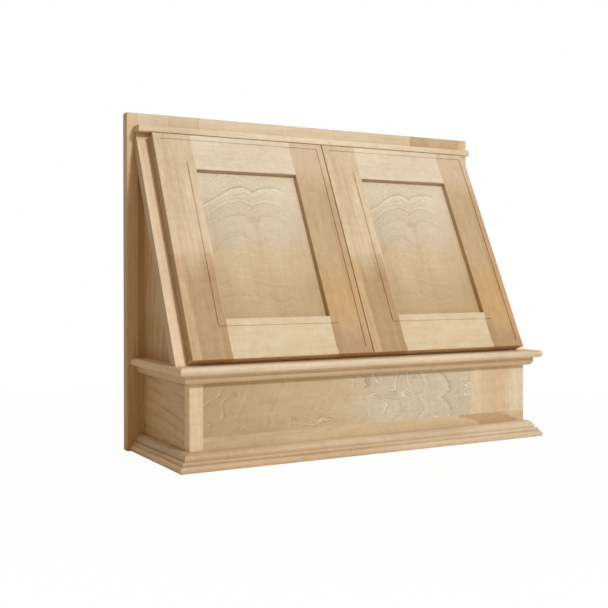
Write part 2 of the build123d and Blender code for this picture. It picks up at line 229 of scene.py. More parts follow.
def surface(material, colour, rough, bump, metallic):
    shader = addNode(material, "BsdfPrincipled")
    for name, value in (("Base Color", colour), ("Roughness", rough),
                        ("Metallic", metallic), ("Normal", bump)):
        feed(material, shader.inputs[name], value)
    output = addNode(material, "OutputMaterial")
    feed(material, output.inputs[0], shader.outputs[0])


def relief(material, height, strength, distance):
    made = addNode(material, "Bump")
    made.inputs["Strength"].default_value = strength
    made.inputs["Distance"].default_value = distance
    feed(material, made.inputs["Height"], height)
    return made.outputs[0]


# Wood: every board has its own frame, across, depth and along the grain.
grainTurns = {"z": (0.0, 0.0, 0.0), "x": (0.0, -pi / 2, 0.0), "y": (pi / 2, 0.0, -pi / 2)}


def boardFrame(node, grain, leaning):
    turnX, turnY, turnZ = grainTurns[grain]
    turn = Euler((turnX + radians(lean if leaning else 0.0), turnY, turnZ))
    matrix = turn.to_matrix()
    corners = [matrix @ vertex.co for vertex in frame["nodes"][node].data.vertices]
    low = Vector([min(corner[axis] for corner in corners) for axis in range(3)])
    high = Vector([max(corner[axis] for corner in corners) for axis in range(3)])
    return turn, (low + high) / 2, high - low, matrix


woodDefaults = {
    "grain": "z",
    "leaning": False,
    "seed": 0.0,
    "colour": (212, 184, 150),
    "zones": (),          # other wood: across from, to, along from, to, blur, colour, share
    "patches": (),        # the same in metres: axis, from, to and blur of each bound, colour, share
    "blotch": None,       # colour, share and how many to the metre
    "strokes": (),        # single grain lines: across, along, across, along, width, tone
    "crossed": None,      # axis, from, to and grain where the wood lies the other way
    "wobble": 0.06,       # how unsteady a zone's sides are
    "flame": 0.05,        # how far its ends run out along the grain
    "drift": 0.004,       # how far the grain wanders sideways
    "cloud": 0.08,        # strengths of the layers below
    "mottle": 0.06,
    "streak": 0.06,
    "line": 0.04,
    "fibre": 0.06,
    "curl": 0.03,
    "fleck": 0.13,
    "ring": 0.07,
    "ringGap": 0.011,
    "ringArch": 0.0,
    "ringTaper": 0.02,
    "rough": 0.58,
    "arris": 0.0003,
    "flush": (),          # neighbours glued up flush: node, axis, low or high side
}

# layers of tone: spots to the metre, how they are drawn out, detail, roughness, distortion
woodLayers = {
    "cloud": (13, (1, 1, 0.45), 3, 0.5),
    "mottle": (95, (1, 1, 0.7), 3, 0.6),
    "streak": (38, (1, 1, 0.08), 3, 0.55),
    "line": (260, (1, 1, 0.045), 3, 0.6),
    "fibre": (900, (1, 1, 0.02), 3, 0.65),
    "curl": (130, (0.15, 0.15, 1), 2, 0.5, 0.4),
}
fleckMarks = {"layer": (420, (1, 1, 0.08), 2, 0.6), "seen": (0.64, 0.76)}
blotchMarks = {"stretch": (1, 1, 0.5), "detail": 3, "roughness": 0.55, "seen": (0.45, 0.68)}
grainDrift = (9, (1, 1, 0.5), 2, 0.5)
seedSteps = (1.37, 0.53, 2.11)
zoneLift = 0.10           # how far the clouds lift a zone's ends
ringMarks = {
    "wander": (7, (1, 1, 0.22), 3, 0.5),
    "reach": 0.022,
    "straight": 0.1,          # how straight the rings of a board with arches stay
    "intoBoard": 0.7,
    "edge": (0.55, 0.93),     # a ring darkens slowly and ends sharply
    "broken": (60, (1, 1, 0.12), 2, 0.5),
    "seen": (0.35, 0.65),
}
strokeMarks = {"spots": 55, "shake": 0.0012, "fade": 0.2}

# how much a darker streak takes from red, green and blue
toneTint = (0.80, 1.0, 1.28)
woodTouch = {"toneToRough": -0.25, "relief": (0.35, 0.0004)}

# cut ends drink more light than the faces
endCuts = {"seen": (0.85, 0.97), "shade": (240, 232, 220)}

# painted shade: inner corners, creases and gaps are darkened and browned, the more the closer they are
# shut in
paintedNookShade = {"reach": 0.030, "shade": (0.97, 0.85, 0.70, 1.0), "most": 0.6, "samples": 6}


def window(material, source, low, high, blur):
    # one inside low to high; a side at or past the board's end stays open
    parts = []
    if low > 0:
        parts.append(band(material, source, low - blur, low + blur))
    if high < 1:
        parts.append(band(material, source, high - blur, high + blur, 1.0, 0.0))
    if not parts:
        return 1.0
    return product(material, *parts)


def boardShades(material, spec, wood, places, u, v):
    colour = paint(*spec["colour"])
    if spec["blotch"]:
        shade, share, often = spec["blotch"]
        spots = noise(material, wood, often, blotchMarks["stretch"], blotchMarks["detail"],
                      blotchMarks["roughness"])
        spots = band(material, spots, *blotchMarks["seen"])
        colour = mix(material, "MIX", product(material, spots, share), colour, paint(*shade))
    for left, right, low, high, blur, shade, share in spec["zones"]:
        over = window(material, u, left, right, blur)
        up = window(material, v, low, high, blur)
        place = product(material, over, up, share)
        colour = mix(material, "MIX", place, colour, paint(*shade))
    for bounds, shade, share in spec["patches"]:
        place = share
        for axis, low, high, blur in bounds:
            start = band(material, places[axis], low - blur, low + blur)
            end = band(material, places[axis], high - blur, high + blur, 1.0, 0.0)
            place = product(material, start, end, place)
        colour = mix(material, "MIX", place, colour, paint(*shade))
    return colour if isinstance(colour, bpy.types.NodeSocket) else colour[:3]


def growthRings(material, spec, wood, across, depth, along):
    wander = swing(material, noise(material, wood, *ringMarks["wander"]), ringMarks["reach"])
    line = calc(material, "ADD", across, wander)
    arch = product(material, line, line, spec["ringArch"])
    straight = ringMarks["straight"] if spec["ringArch"] else 1.0
    phase = calc(material, "MULTIPLY_ADD", line, straight, arch)
    phase = calc(material, "MULTIPLY_ADD", along, spec["ringTaper"], phase)
    phase = calc(material, "MULTIPLY_ADD", depth, ringMarks["intoBoard"], phase)
    part = calc(material, "FRACT", calc(material, "DIVIDE", phase, spec["ringGap"]))
    start, darkest = ringMarks["edge"]
    rise = band(material, part, start, darkest)
    fall = band(material, part, 1.0, darkest)
    broken = band(material, noise(material, wood, *ringMarks["broken"]), *ringMarks["seen"])
    return product(material, rise, fall, broken)


def nearStroke(material, start, run, spot):
    # how far along a stroke a spot lies, 0 to 1, and how far away from it
    offset = vectorCalc(material, "SUBTRACT", spot, tuple(start))
    share = addNode(material, "VectorMath", operation="DOT_PRODUCT")
    feed(material, share.inputs[0], offset)
    share.inputs[1].default_value = tuple(run / run.length_squared)
    share = calc(material, "ADD", share.outputs["Value"], 0.0, clamp=True)
    foot = addNode(material, "VectorMath", operation="SCALE")
    foot.inputs[0].default_value = tuple(run)
    feed(material, foot.inputs["Scale"], share)
    away = addNode(material, "VectorMath", operation="DISTANCE")
    feed(material, away.inputs[0], offset)
    feed(material, away.inputs[1], foot.outputs[0])
    return share, away.outputs["Value"]


def drawnStrokes(material, spec, wood, u, v, size):
    # thin lines drawn on the board, a little unsteady
    shake = swing(material, noise(material, wood, strokeMarks["spots"]), strokeMarks["shake"])
    spot = joined(material, calc(material, "MULTIPLY_ADD", u, size[0], shake),
                  calc(material, "MULTIPLY_ADD", v, size[2], shake), 0.0)
    fade = strokeMarks["fade"]
    marks = []
    for startU, startV, endU, endV, width, tone in spec["strokes"]:
        start = Vector((startU * size[0], startV * size[2], 0.0))
        run = Vector((endU * size[0], endV * size[2], 0.0)) - start
        share, away = nearStroke(material, start, run, spot)
        begin = band(material, share, 0.0, fade)
        end = band(material, share, 1.0, 1.0 - fade)
        mark = band(material, away, width, 0.0)
        marks.append(product(material, mark, begin, end, tone))
    return total(material, *marks)


def boardPlace(material, node, spec, grain, coords):
    turn, centre, size, matrix = boardFrame(node, grain, spec["leaning"])
    mapping = addNode(material, "Mapping")
    mapping.inputs["Rotation"].default_value = turn
    mapping.inputs["Location"].default_value = -centre
    feed(material, mapping.inputs[0], coords.outputs["Object"])
    share = vectorCalc(material, "MULTIPLY_ADD", mapping.outputs[0],
                       tuple(1 / length for length in size), (0.5, 0.5, 0.5))
    return mapping.outputs[0], share, size, matrix


def crossedBoard(material, node, spec, coords, board, share):
    # the part of a board where the wood lies the other way
    axis, low, high, grain = spec["crossed"]
    other, otherShare, _, _ = boardPlace(material, node, spec, grain, coords)
    reach = split(material, coords.outputs["Object"])[axis]
    inside = product(material, calc(material, "GREATER_THAN", reach, low),
                     calc(material, "LESS_THAN", reach, high))
    return mix(material, "MIX", inside, board, other), mix(material, "MIX", inside, share, otherShare)


def woodTone(material, spec, wood, layers, board):
    fleck = band(material, noise(material, wood, *fleckMarks["layer"]), *fleckMarks["seen"])
    ring = growthRings(material, spec, wood, *board)
    swings = [swing(material, layer, 2 * spec[name]) for name, layer in layers.items()]
    return total(material, *swings, product(material, ring, -spec["ring"]),
                 product(material, fleck, -spec["fleck"]))


def darkenedEnds(material, colour, normal, matrix):
    facing = addNode(material, "VectorMath", operation="DOT_PRODUCT")
    feed(material, facing.inputs[0], normal)
    facing.inputs[1].default_value = matrix.inverted() @ Vector((0, 0, 1))
    facing = calc(material, "ABSOLUTE", facing.outputs["Value"])
    endCut = band(material, facing, *endCuts["seen"])
    return mix(material, "MULTIPLY", endCut, colour, paint(*endCuts["shade"]))


# paints shade into corners and gaps, from how closed in each point is
def paintNookShade(material, colour):
    nook = addNode(material, "AmbientOcclusion", samples=paintedNookShade["samples"])
    nook.inputs["Distance"].default_value = paintedNookShade["reach"]
    closed = calc(material, "SUBTRACT", 1.0, nook.outputs["AO"])
    closed = calc(material, "MINIMUM", closed, paintedNookShade["most"])
    return mix(material, "MULTIPLY", closed, colour, paintedNookShade["shade"])


def woodFinish(node, look, figure=None):
    spec = {**woodDefaults, **look}
    material = newMaterial(node + "Wood")
    coords = addNode(material, "TexCoord")
    board, share, size, matrix = boardPlace(material, node, spec, spec["grain"], coords)
    if spec["crossed"]:
        board, share = crossedBoard(material, node, spec, coords, board, share)
    across, depth, along = split(material, board)
    wood = vectorCalc(material, "ADD", board, tuple(spec["seed"] * step for step in seedSteps))
    drift = swing(material, noise(material, wood, *grainDrift), spec["drift"])
    wood = vectorCalc(material, "ADD", wood, joined(material, drift, 0.0, 0.0))
    layers = {name: noise(material, wood, *layer) for name, layer in woodLayers.items()}
    tone = woodTone(material, spec, wood, layers, (across, depth, along))

    shareU, _, shareV = split(material, share)
    if spec["strokes"]:
        strokes = drawnStrokes(material, spec, wood, shareU, shareV, size)
        tone = calc(material, "ADD", tone, strokes)
    u = calc(material, "ADD", shareU, swing(material, layers["cloud"], spec["wobble"]))
    v = total(material, shareV, swing(material, layers["cloud"], zoneLift),
              swing(material, layers["streak"], 2 * spec["flame"]))
    places = split(material, coords.outputs["Object"])
    colour = boardShades(material, spec, wood, places, u, v)
    if figure is not None:
        drawn, tint = figure(material, wood, across, along, size)
        tone = calc(material, "ADD", tone, drawn)
        colour = mix(material, "MULTIPLY", 1.0, colour, tint)
    tinted = vectorCalc(material, "SCALE", toneTint)
    feed(material, tinted.node.inputs["Scale"], tone)
    shade = vectorCalc(material, "ADD", tinted, (1.0, 1.0, 1.0))
    colour = vectorCalc(material, "MULTIPLY", colour, shade)
    colour = darkenedEnds(material, colour, coords.outputs["Normal"], matrix)
    colour = paintNookShade(material, colour)
    rough = calc(material, "MULTIPLY_ADD", tone, woodTouch["toneToRough"], spec["rough"])
    surface(material, colour, rough, relief(material, tone, *woodTouch["relief"]), 0.0)
    return material


easing = {
    "segments": 2,
    "sharp": 30.0,            # edges sharper than this are eased
    "shortest": 0.0035,
    "creased": 42.0,          # and those sharper than this keep a hard shading
    "merge": 1e-6,
    "flat": 0.6,
    "flushWithin": 2e-5,
}


def onFlushPlane(edge, planes):
    return any(all(abs(vertex.co[axis] - place) < easing["flushWithin"] for vertex in edge.verts)
               for axis, place in planes)


def easeEdges(shape, planes, width):
    sharp = radians(easing["sharp"])
    chosen = [edge for edge in shape.edges
              if len(edge.link_faces) == 2 and edge.is_convex
              and edge.calc_face_angle(0) > sharp and edge.calc_length() > easing["shortest"]
              and not onFlushPlane(edge, planes)]
    bmesh.ops.bevel(shape, geom=chosen, offset=width, offset_type="OFFSET", affect="EDGES",
                    segments=easing["segments"], profile=0.5, material=-1, clamp_overlap=True)
    for face in shape.faces:
        face.smooth = True
    for edge in shape.edges:
        if len(edge.link_faces) == 2:
            edge.smooth = edge.calc_face_angle(0) < radians(easing["creased"])


def easedPiece(node, look, material):
    # a copy of the solid with its sharp edges eased, but not where it is glued up flush
    spec = {**woodDefaults, **look}
    mesh = frame["nodes"][node].data.copy()
    shape = bmesh.new()
    shape.from_mesh(mesh)
    bmesh.ops.remove_doubles(shape, verts=shape.verts, dist=easing["merge"])
    bmesh.ops.dissolve_limit(shape, angle_limit=radians(easing["flat"]), verts=shape.verts,
                             edges=shape.edges)
    planes = [(axis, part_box(neighbour)[side][axis]) for neighbour, axis, side in spec["flush"]]
    easeEdges(shape, planes, spec["arris"])
    shape.to_mesh(mesh)
    shape.free()
    mesh.materials.clear()
    mesh.materials.append(material)
    piece = bpy.data.objects.new(node + "Eased", mesh)
    bpy.context.scene.collection.objects.link(piece)
    if mesh.has_custom_normals:
        mesh.attributes.remove(mesh.attributes["custom_normal"])
    weighted = piece.modifiers.new("flatFaces", "WEIGHTED_NORMAL")
    weighted.keep_sharp = True
    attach(piece, frame["nodes"][node]["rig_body"])
    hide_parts(node)
    return piece


def dress(node, look, figure=None):
    return easedPiece(node, look, woodFinish(node, look, figure))


# the figured veneer of both door panels and of the low box's front
veneer = {
    # the height that a growth line keeps at each place across, for five lines
    "lines": [
        (0.25, [(0, 0.25), (0.30, 0.272), (0.40, 0.255), (0.50, 0.24), (0.60, 0.222), (0.68, 0.226),
                (0.73, 0.20), (0.77, 0.14), (0.85, 0.06), (1, 0.0)]),
        (0.42, [(0, 0.28), (0.10, 0.33), (0.20, 0.395), (0.25, 0.43), (0.32, 0.445), (0.38, 0.435),
                (0.44, 0.405), (0.50, 0.375), (0.55, 0.365), (0.62, 0.41), (0.68, 0.44), (0.75, 0.40),
                (0.80, 0.36), (0.90, 0.40), (1, 0.45)]),
        (0.57, [(0, 0.50), (0.12, 0.535), (0.20, 0.556), (0.28, 0.567), (0.34, 0.567), (0.40, 0.545),
                (0.44, 0.49), (0.49, 0.46), (0.53, 0.485), (0.57, 0.55), (0.62, 0.58), (0.66, 0.583),
                (0.72, 0.565), (0.80, 0.505), (0.85, 0.50), (0.92, 0.60), (1, 0.65)]),
        (0.71, [(0, 0.58), (0.12, 0.645), (0.20, 0.69), (0.28, 0.71), (0.36, 0.715), (0.44, 0.712),
                (0.50, 0.685), (0.55, 0.705), (0.62, 0.715), (0.70, 0.70), (0.78, 0.67), (1, 0.66)]),
        (0.905, [(0, 0.72), (0.08, 0.765), (0.15, 0.80), (0.22, 0.845), (0.30, 0.885), (0.38, 0.905),
                 (0.46, 0.908), (0.50, 0.893), (0.53, 0.878), (0.57, 0.892), (0.62, 0.905),
                 (0.70, 0.914), (0.78, 0.915), (0.84, 0.90), (1, 0.88)]),
    ],
    # how dark or light the wood is at each growth height
    "tones": [(0.0, 0.0), (0.115, 0.0), (0.128, 0.22), (0.137, -0.16), (0.15, 0.0),
              (0.232, 0.0), (0.243, -0.26), (0.252, 0.24), (0.262, 0.0),
              (0.408, 0.0), (0.417, -0.22), (0.426, 0.26), (0.437, 0.0),
              (0.552, 0.05), (0.563, -0.42), (0.573, 0.16), (0.583, -0.26), (0.592, 0.0),
              (0.692, 0.05), (0.704, -0.36), (0.716, 0.04),
              (0.783, -0.02), (0.793, -0.34), (0.803, 0.34), (0.82, 0.0),
              (0.868, 0.10), (0.894, 0.50), (0.903, -0.95), (0.914, -0.10), (0.935, 0.02),
              (1.0, 0.0)],
    "lineTone": 0.33,
    "shake": ((46, 0.022), (140, 0.009), (330, 0.0040)),      # spots to the metre and reach
    "sway": (15, 0.02),
    "lift": 0.35,                             # how much of the widest shake lifts the lines
    "quiet": (0.80, 0.87, 1.0, 0.12),         # the figure fades towards one side
    "broken": (0.33, 0.52, 0.35, 1.0),
    "brokenSpots": 33,
    "fine": {"tone": -0.03, "count": 40.0, "edge": (0.5, 0.9)},
    "squiggle": {"tone": 0.20, "count": 17.0, "bends": (28,), "width": 0.11, "spots": 15,
                 "seen": (0.49, 0.58)},
    "crinkle": {"tone": 0.22, "count": 36.0, "bends": (60, (1, 1, 1), 3, 0.6), "width": 0.2,
                "spots": 45, "seen": (0.36, 0.54), "bend": 1.6, "heights": (0.50, 0.80)},
    # a dark spot under the middle notch
    "spot": {"tone": -0.07, "u": 0.49, "height": 0.672, "halfWidth": 0.07, "halfHeight": 0.024,
             "edge": (1.2, 0.1)},
    "cool": {"tint": (0.955, 0.975, 1.0, 1), "across": (0.45, 0.15), "from": (0.42, 0.55),
             "to": (0.82, 0.70)},
}


def thinLines(material, phase, width):
    # a thin light line with a dark flank, once every whole step of the phase
    flank = {"end": 2.4, "tone": -0.7}
    part = calc(material, "FRACT", phase)
    light = product(material, band(material, part, 0.5 - width, 0.5),
                    band(material, part, 0.5 + width, 0.5))
    dark = product(material, band(material, part, 0.5, 0.5 + width),
                   band(material, part, 0.5 + flank["end"] * width, 0.5 + width))
    return calc(material, "MULTIPLY_ADD", dark, flank["tone"], light)


def growthHeight(material, u, v, height):
    # how high among the figure's growth lines a point lies
    shift = before = None
    for level, points in veneer["lines"]:
        drawn = calc(material, "SUBTRACT", drawnCurve(material, u, points), level)
        if shift is None:
            shift = drawn
        else:
            step = calc(material, "SUBTRACT", drawn, shift)
            shift = calc(material, "MULTIPLY_ADD", step, band(material, v, before, level), shift)
        before = level
    return calc(material, "SUBTRACT", height, shift)


def boldLines(material, wood, phase, quiet):
    lines = toneRun(material, phase, veneer["tones"])
    broken = band(material, noise(material, wood, veneer["brokenSpots"]), *veneer["broken"])
    return product(material, lines, quiet, broken, veneer["lineTone"])


def fineLines(material, phase, quiet):
    fine = veneer["fine"]
    part = calc(material, "FRACT", product(material, phase, fine["count"]))
    start, darkest = fine["edge"]
    rise = band(material, part, start, darkest)
    fall = band(material, part, 1.0, darkest)
    return product(material, rise, fall, quiet, fine["tone"])


def wavyLines(material, wood, phase, kind, bend, quiet):
    # thin lines that follow the growth lines, bent a little and seen in patches
    bent = swing(material, noise(material, wood, *kind["bends"]), bend)
    bent = calc(material, "MULTIPLY_ADD", phase, kind["count"], bent)
    seen = band(material, noise(material, wood, kind["spots"]), *kind["seen"])
    return product(material, thinLines(material, bent, kind["width"]), seen, quiet)


def notchSpot(material, u, height):
    spot = veneer["spot"]
    over = product(material, calc(material, "SUBTRACT", u, spot["u"]), 1 / spot["halfWidth"])
    up = calc(material, "SUBTRACT", height, spot["height"])
    up = product(material, up, 1 / spot["halfHeight"])
    away = calc(material, "ADD", product(material, over, over), product(material, up, up))
    return product(material, band(material, away, *spot["edge"]), spot["tone"])


def veneerFigure(place, swirl, bold, crisp):
    # place tells where on the figure, 0 to 1 across and up, a point of the board lies;
    # swirl bends the squiggles, bold and crisp strengthen them and the crinkles
    def draw(material, wood, across, along, size):
        u, v = place(material, across, along, size)
        wide, middle, small = [swing(material, noise(material, wood, often), reach)
                               for often, reach in veneer["shake"]]
        swayOften, swayReach = veneer["sway"]
        sway = swing(material, noise(material, wood, swayOften), swayReach)
        u = total(material, u, wide, middle, sway)
        height = total(material, v, product(material, wide, veneer["lift"]), middle, small)
        phase = growthHeight(material, u, v, height)
        quiet = band(material, u, *veneer["quiet"])
        squiggle, crinkle, cool = veneer["squiggle"], veneer["crinkle"], veneer["cool"]
        squiggles = wavyLines(material, wood, phase, squiggle, swirl, quiet)
        crinkles = wavyLines(material, wood, phase, crinkle, crinkle["bend"], quiet)
        crinkles = product(material, crinkles, band(material, phase, *crinkle["heights"]))
        tone = total(material, boldLines(material, wood, phase, quiet),
                     fineLines(material, phase, quiet),
                     product(material, squiggles, bold * squiggle["tone"]),
                     product(material, crinkles, crisp * crinkle["tone"]),
                     notchSpot(material, u, height))
        cooled = product(material, band(material, u, *cool["across"]),
                         band(material, v, *cool["from"]), band(material, v, *cool["to"]))
        return tone, mix(material, "MIX", cooled, (1, 1, 1, 1), cool["tint"])
    return draw


panelOpening = {"width": 0.20105, "height": 0.28294}
lyingFigure = {"stretch": 6.2, "middle": 0.41}        # the same figure with its top to the right


def panelPlace(material, across, along, size):
    u = calc(material, "MULTIPLY_ADD", across, 1 / panelOpening["width"], 0.5)
    v = calc(material, "MULTIPLY_ADD", along, 1 / panelOpening["height"], 0.5)
    return u, v


def valancePlace(material, across, along, size):
    u = calc(material, "MULTIPLY_ADD", across, lyingFigure["stretch"], lyingFigure["middle"])
    v = calc(material, "MULTIPLY_ADD", along, 1 / size[2], 0.5)
    return u, v


# back: upright staves at both ends, a long board lying between them
backPanelLook = {
    "seed": 1.0,
    "colour": (212, 196, 171),
    "crossed": (0, -0.240, 0.231, "x"),
    "wobble": 0.0,
    "flame": 0.0,
    "zones": [
        (0.8235, 0.8922, 0.0, 1.0, 0.0004, (187, 163, 129), 1.0),
        (0.8922, 1.0, 0.0, 1.0, 0.0004, (192, 168, 134), 1.0),
        (0.08, 0.1638, 0.0, 1.0, 0.0004, (200, 180, 152), 0.6),
    ],
    "patches": [
        # painted shade: the strip beside the hood's left side is darker and browner where the hood
        # shades it, with a painted shadow darker still near its head
        ([(0, -1.0, -0.3470, 0.0015), (2, -1.0, 0.5600, 0.002)], (184, 148, 102), 1.0),
        ([(0, -1.0, -0.3470, 0.0015), (2, 0.45, 0.5600, 0.02)], (158, 120, 74), 0.8),
    ],
}
backEdgeLook = {
    "colour": (209, 184, 150),
    "patches": [
        # painted shade: the edges are darker and browner lower down and near the foot, and the left
        # edge's outer side is darker
        ([(2, -1.0, 0.520, 0.06)], (206, 174, 134), 1.0),
        ([(2, -1.0, 0.150, 0.03)], (186, 149, 106), 0.9),
        ([(0, -1.0, -0.3802, 0.0003)], (186, 154, 118), 0.9),
    ],
}

dress("back_panel", backPanelLook)
for number, side in enumerate(("left", "right")):
    dress("back_edge_" + side, {**backEdgeLook, "seed": 2.0 + number})

# leaning face
faceStileLook = {
    "leaning": True,
    "colour": (220, 196, 166),
    "zones": [(0.0, 1.0, -1.0, 0.28, 0.10, (224, 199, 168), 1.0)],
    "patches": [([(0, -1.0, -0.36735, 0.00012)], (182, 152, 116), 0.9)],      # painted shade: the outer side, facing away from the key lamp, darker and browner
}
faceRailLook = {
    "grain": "x",
    "leaning": True,
    "colour": (208, 182, 150),
}
ledgeLook = {
    "grain": "x",
    "seed": 26.0,
    "arris": 0.0002,
    "colour": (222, 206, 180),
    "zones": [
        (0.0, 1.0, -1.0, 0.14, 0.12, (208, 187, 158), 1.0),
        (0.0, 1.0, 0.9, 2.0, 0.12, (209, 186, 157), 1.0),
    ],
}

faceStileRight = {
    "colour": (224, 204, 178),
    # painted light: the lower end lighter, against the shade of the door beside it
    "zones": [(0.0, 1.0, -1.0, 0.28, 0.10, (236, 220, 198), 1.0)],
}

dress("face_stile_left", {**faceStileLook, "seed": 22.0})
dress("face_stile_right", {**faceStileLook, "seed": 23.0, **faceStileRight})
for number, end in enumerate(("bottom", "top")):
    dress("face_rail_" + end, {**faceRailLook, "seed": 24.0 + number})
dress("ledge", ledgeLook)

# low box
sidePanelLook = {
    "colour": (197, 169, 131),
    "crossed": (2, -1.0, 0.152, "y"),
    "ring": 0.30,
    "ringGap": 0.017,
    "ringTaper": 0.12,
    "streak": 0.10,
    "zones": [(0.0, 1.0, 0.5, 1.0, 0.3, (196, 159, 114), 0.9)],
    "patches": [
        # painted shade: darker and browner towards the back corner, and a painted shadow just above the
        # belt
        ([(1, -0.105, 1.0, 0.03)], (188, 155, 114), 0.5),
        ([(2, 0.155, 0.240, 0.02)], (180, 142, 99), 0.7),
    ],
}
valanceStileLook = {
    "seed": 6.0,
    "curl": 0.08,
    "colour": (219, 197, 161),
    "flush": [("valance_panel", 0, 0)],
}
valancePanelLook = {
    "grain": "x",
    "seed": 7.0,
    "line": 0.03,
    "streak": 0.02,
    "mottle": 0.06,
    "ring": 0.0,
    "fleck": 0.06,
    "colour": (193, 170, 133),
    "zones": [
        (0.0, 1.0, 0.0, 0.20, 0.10, (180, 156, 119), 1.0),
        (0.0, 1.0, 0.52, 1.0, 0.12, (200, 186, 163), 1.0),
    ],
    "flush": [("valance_panel", 0, 0), ("valance_panel", 0, 1), ("valance_panel", 2, 0)],
}
valanceFigure = {"swirl": 1.6, "bold": 1.6, "crisp": 0.45}
valanceBoardLook = {
    "seed": 8.0,
    "line": 0.03,
    "streak": 0.05,
    "mottle": 0.09,
    "wobble": 0.16,
    "colour": (206, 181, 147),
    "zones": [
        (0.0, 0.2, 0.0, 1.0, 0.06, (210, 190, 158), 1.0),
        (0.74, 1.0, 0.0, 1.0, 0.08, (211, 196, 168), 1.0),
    ],
    "strokes": [(0.23, 0.40, 0.25, 0.95, 0.0022, -0.10)],
    "flush": [("valance_board", 0, 0), ("valance_board", 2, 0)],
}
valanceRailLook = {
    "grain": "x",
    "seed": 9.0,
    "ring": 0.12,
    "ringArch": 2.0,
    "ringTaper": 0.012,
    "colour": (203, 182, 149),
    "zones": [
        (0.0, 1.0, 0.80, 0.95, 0.008, (184, 155, 119), 1.0),
        (0.0, 1.0, 0.0, 0.2, 0.1, (196, 174, 137), 1.0),
    ],
    "flush": [("valance_panel", 2, 0), ("valance_panel", 0, 0)],
}
hiddenFrameLook = {
    "ring": 0.16,
    "fleck": 0.05,
    "colour": (214, 187, 142),
}
hiddenPieces = {"nailer": "x", "cleat_front": "x", "cleat_left": "y", "cleat_right": "y",
                "corner_block_left": "z", "corner_block_right": "z"}

for number, side in enumerate(("left", "right")):
    dress("side_panel_" + side, {**sidePanelLook, "seed": 4.0 + number})
dress("valance_stile", valanceStileLook)
dress("valance_panel", valancePanelLook, veneerFigure(valancePlace, **valanceFigure))
dress("valance_board", valanceBoardLook)
dress("valance_rail", valanceRailLook)
for number, (node, grain) in enumerate(hiddenPieces.items()):
    dress(node, {**hiddenFrameLook, "grain": grain, "seed": 10.0 + number})
print("back, face and low box dressed")

# mouldings
beltLook = {
    "grain": "x",
    "seed": 16.0,
    "colour": (217, 197, 169),
    # painted shade: the right end darker, against the brighter key light there
    "zones": [(0.0, 1.0, 0.80, 2.0, 0.08, (206, 186, 157), 0.9)],
    "patches": [([(2, 0.1, 0.1478, 0.0015)], (200, 175, 142), 1.0)],      # painted shade under the nose, darker and browner
}
baseLook = {
    "grain": "x",
    "seed": 19.0,
    "colour": (201, 175, 145),
    "zones": [(0.0, 1.0, 0.5, 1.0, 0.2, (208, 189, 163), 1.0)],
    "patches": [
        ([(0, -1.0, -0.19, 0.03), (2, 0.0125, 0.030, 0.0006)], (193, 166, 132), 0.9),
        ([(0, 0.01, 0.18, 0.03), (2, 0.0125, 0.030, 0.0006)], (196, 176, 147), 0.9),
    ],
}
returnColours = {"belt_": (214, 183, 146), "base_": (219, 190, 152)}
for look, name in ((beltLook, "belt_"), (baseLook, "base_")):
    dress(name + "front", look)
    sideways = {**look, "grain": "y", "zones": (), "colour": returnColours[name]}
    dress(name + "left", {**sideways, "seed": look["seed"] + 1})
    dress(name + "right", {**sideways, "seed": look["seed"] + 2})
print("mouldings dressed")

# doors: both carry the same wood, the right one's moved along rather than mirrored
stileFootPaintedLight = ([(2, -1.0, 0.1728, 0.0006)], (212, 176, 130), 0.9)     # painted light: the lower edge made lighter, as if lit from the belt
# painted light, the same for the rails' lower edge
railFootPaintedLight = ([(2, -1.0, 0.1728, 0.0006)], (208, 182, 144), 0.9)
# painted light: the sides that face each other across the gap between the doors lighter
gapSidesPaintedLight = ([(0, -0.0010, 0.0010, 0.0001)], (224, 194, 152), 0.9)
# painted shade: the left door's outer side, facing away from the key lamp, darker and browner
outerSidePaintedShade = ([(0, -1.0, -0.34580, 0.00012)], (174, 142, 102), 0.85)

doorWestStileLook = {
    "leaning": True,
    "patches": [outerSidePaintedShade, stileFootPaintedLight, gapSidesPaintedLight],
    "seed": 30.0,
    "flame": 0.035,
    "wobble": 0.12,
    "line": 0.07,
    "streak": 0.08,
    "mottle": 0.09,
    "colour": (200, 177, 146),
    "zones": [
        (0.16, 1.0, -1.0, 0.44, 0.09, (171, 139, 96), 0.95),     # brown heart at the foot
        (0.22, 0.9, 0.20, 0.33, 0.06, (168, 136, 93), 0.6),
        (0.60, 1.0, 0.49, 0.86, 0.10, (209, 189, 159), 0.9),      # pale side towards the panel
        (0.0, 0.20, -1.0, 2.0, 0.03, (205, 184, 152), 0.85),      # pale outer strip
        (0.0, 0.23, -1.0, 0.46, 0.05, (190, 158, 114), 0.95),     # and its browner foot
        (0.0, 1.0, 0.93, 2.0, 0.06, (205, 185, 156), 0.8),
    ],
    "strokes": [(0.215, 0.42, 0.215, 0.0, 0.0013, 0.34), (0.18, 0.48, 0.18, 0.03, 0.0009, -0.11),
                (0.984, 0.56, 0.984, 0.12, 0.0018, 0.40)],      # the first and the last are painted highlights: a light line along the outer border and one along the inner edge
}
doorEastStileLook = {
    "leaning": True,
    "patches": [stileFootPaintedLight, gapSidesPaintedLight],
    "seed": 32.0,
    "line": 0.05,
    "flame": 0.035,
    "mottle": 0.08,
    "colour": (187, 159, 123),
    "zones": [
        (0.0, 1.0, 0.10, 0.40, 0.10, (184, 148, 101), 0.9),       # honey-coloured foot
        (0.0, 1.0, -1.0, 0.10, 0.05, (169, 135, 95), 0.9),
        (0.0, 1.0, 0.84, 2.0, 0.09, (200, 178, 150), 0.9),
        (0.4, 1.0, 0.45, 0.75, 0.10, (184, 156, 122), 0.7),
    ],
}
